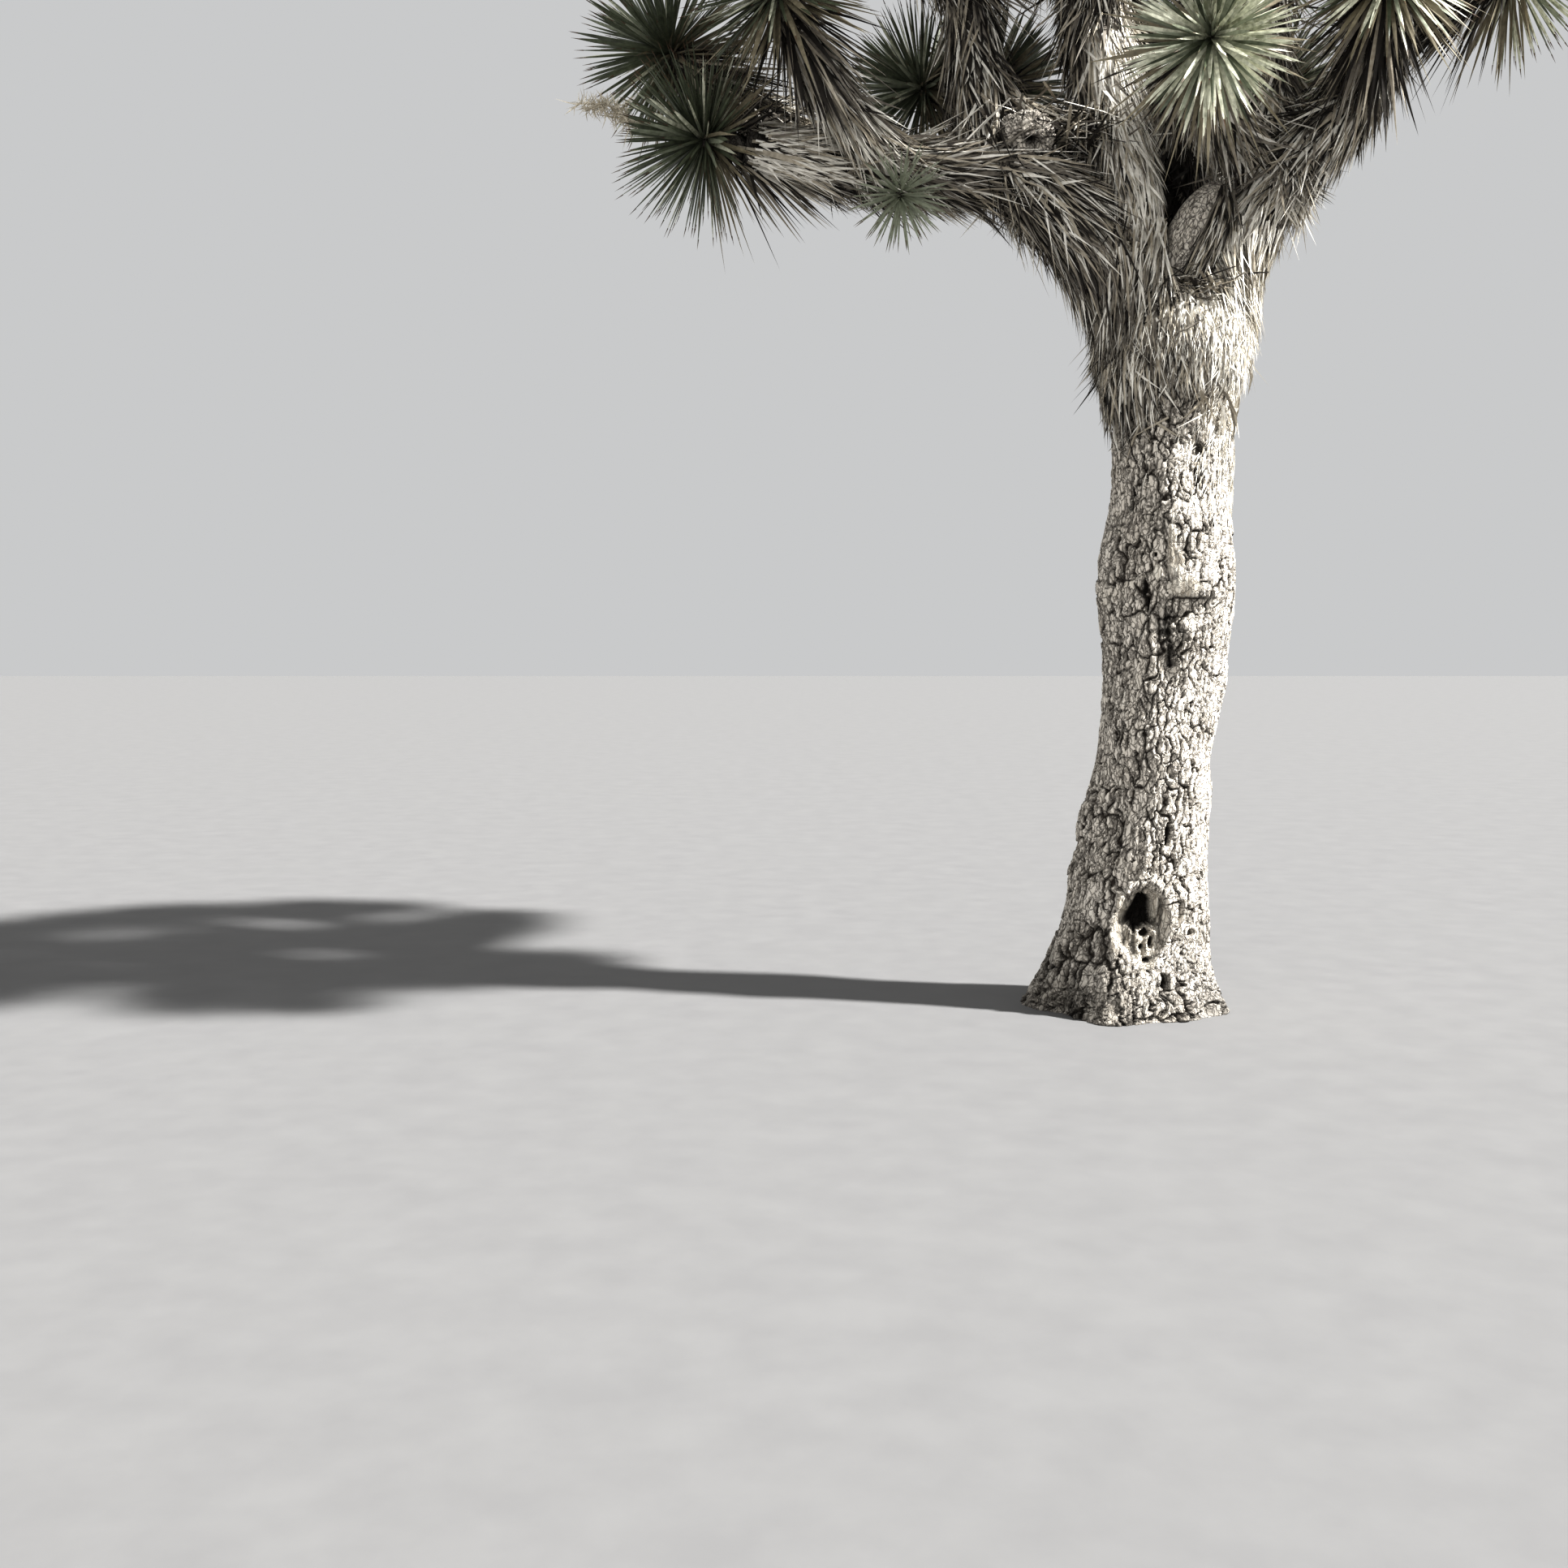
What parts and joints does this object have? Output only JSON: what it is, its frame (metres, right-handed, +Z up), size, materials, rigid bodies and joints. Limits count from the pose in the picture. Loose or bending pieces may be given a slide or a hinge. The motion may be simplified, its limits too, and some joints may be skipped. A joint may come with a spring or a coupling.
{
  "type": "joshua tree",
  "caption": "Joshua tree: corky flared trunk, stout boughs thatched with dead leaves, round crown of dagger-leaf heads.",
  "frame": {"origin": "centre of the flat cut under the trunk, at ground level", "axes": "+Z up the tree, +X towards the side the trunk leans to (right in the picture), +Y away from the picture's viewer"},
  "size_m": [3.5693, 2.9362, 5.0676],
  "materials": {
    "bark": "grey corky bark, deeply cracked into plates",
    "thatch": "boughs under a shaggy coat of dead grey leaves",
    "leaves": "stiff grey-green dagger leaves with a slight wax sheen"
  },
  "bodies": {
    "root": {"trunk": "bark", "back_bough": "thatch", "back_crown": "thatch", "back_left": "thatch", "back_low": "thatch", "bright_limb": "thatch", "centre_bough": "thatch", "centre_left": "thatch", "front_crown": "thatch", "front_right": "thatch", "left_back": "thatch", "left_bough": "thatch", "left_crown": "thatch", "left_outer": "thatch", "left_rise": "thatch", "left_shade": "thatch", "left_top": "thatch", "left_upright": "thatch", "right_back": "thatch", "right_bough": "thatch", "right_crown": "thatch", "right_front": "thatch", "right_reach": "thatch", "right_shade": "thatch", "right_upper": "thatch", "shade_crown": "thatch", "top_crown": "thatch", "back_crown_head_1": "leaves", "back_crown_head_2": "leaves", "back_left_head_1": "leaves", "back_left_head_2": "leaves", "back_low_head": "leaves", "bright_head": "leaves", "centre_left_head_1": "leaves", "centre_left_head_2": "leaves", "front_crown_head_1": "leaves", "front_crown_head_2": "leaves", "front_right_head": "leaves", "left_back_head": "leaves", "left_crown_head_1": "leaves", "left_crown_head_2": "leaves", "left_outer_head": "leaves", "left_rise_head": "leaves", "left_shade_head_1": "leaves", "left_shade_head_2": "leaves", "left_top_head_1": "leaves", "left_top_head_2": "leaves", "right_back_head_1": "leaves", "right_back_head_2": "leaves", "right_crown_head_1": "leaves", "right_crown_head_2": "leaves", "right_front_head": "leaves", "right_reach_head": "leaves", "shade_crown_head": "leaves", "top_crown_head_1": "leaves", "top_crown_head_2": "leaves", "top_crown_head_3": "leaves", "young_head": "leaves"}
  },
  "joints": []
}
